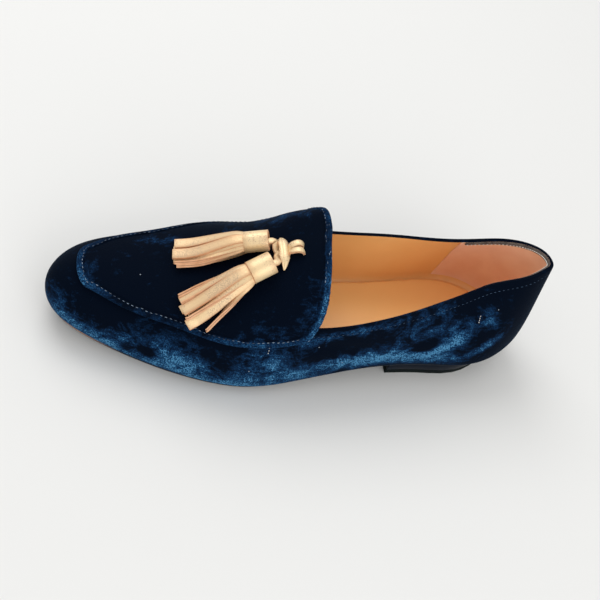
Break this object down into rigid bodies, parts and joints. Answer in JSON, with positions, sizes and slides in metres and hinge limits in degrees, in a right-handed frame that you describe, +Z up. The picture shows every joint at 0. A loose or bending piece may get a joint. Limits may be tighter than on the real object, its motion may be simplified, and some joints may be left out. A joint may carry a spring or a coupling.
{
  "type": "tassel slipper loafer",
  "caption": "Left velvet slipper loafer with a raised apron that ends in a free tab, a knotted thong with two leather tassels, a thin sole and a low heel.",
  "frame": {"origin": "middle of the shoe's footprint box, on the floor", "axes": "+X to the toe, +Y to the wearer's left, which is the lateral side, +Z up"},
  "size_m": [0.252, 0.086, 0.0727],
  "materials": {
    "velvet": "crushed pile",
    "sole_leather": "smooth, edge dressed",
    "lift_rubber": "satin",
    "lining_leather": "smooth",
    "gold_leather": "foiled, cut edges plain"
  },
  "bodies": {
    "root": {"upper": "velvet", "apron": "velvet", "outsole": "sole_leather", "insole": "lining_leather", "heel_block": "sole_leather", "heel_lift": "lift_rubber", "tassel_cap_1": "gold_leather", "tassel_fringe_1": "gold_leather", "tassel_cap_2": "gold_leather", "tassel_fringe_2": "gold_leather", "thong": "gold_leather", "knot_wrap": "gold_leather"}
  },
  "joints": []
}
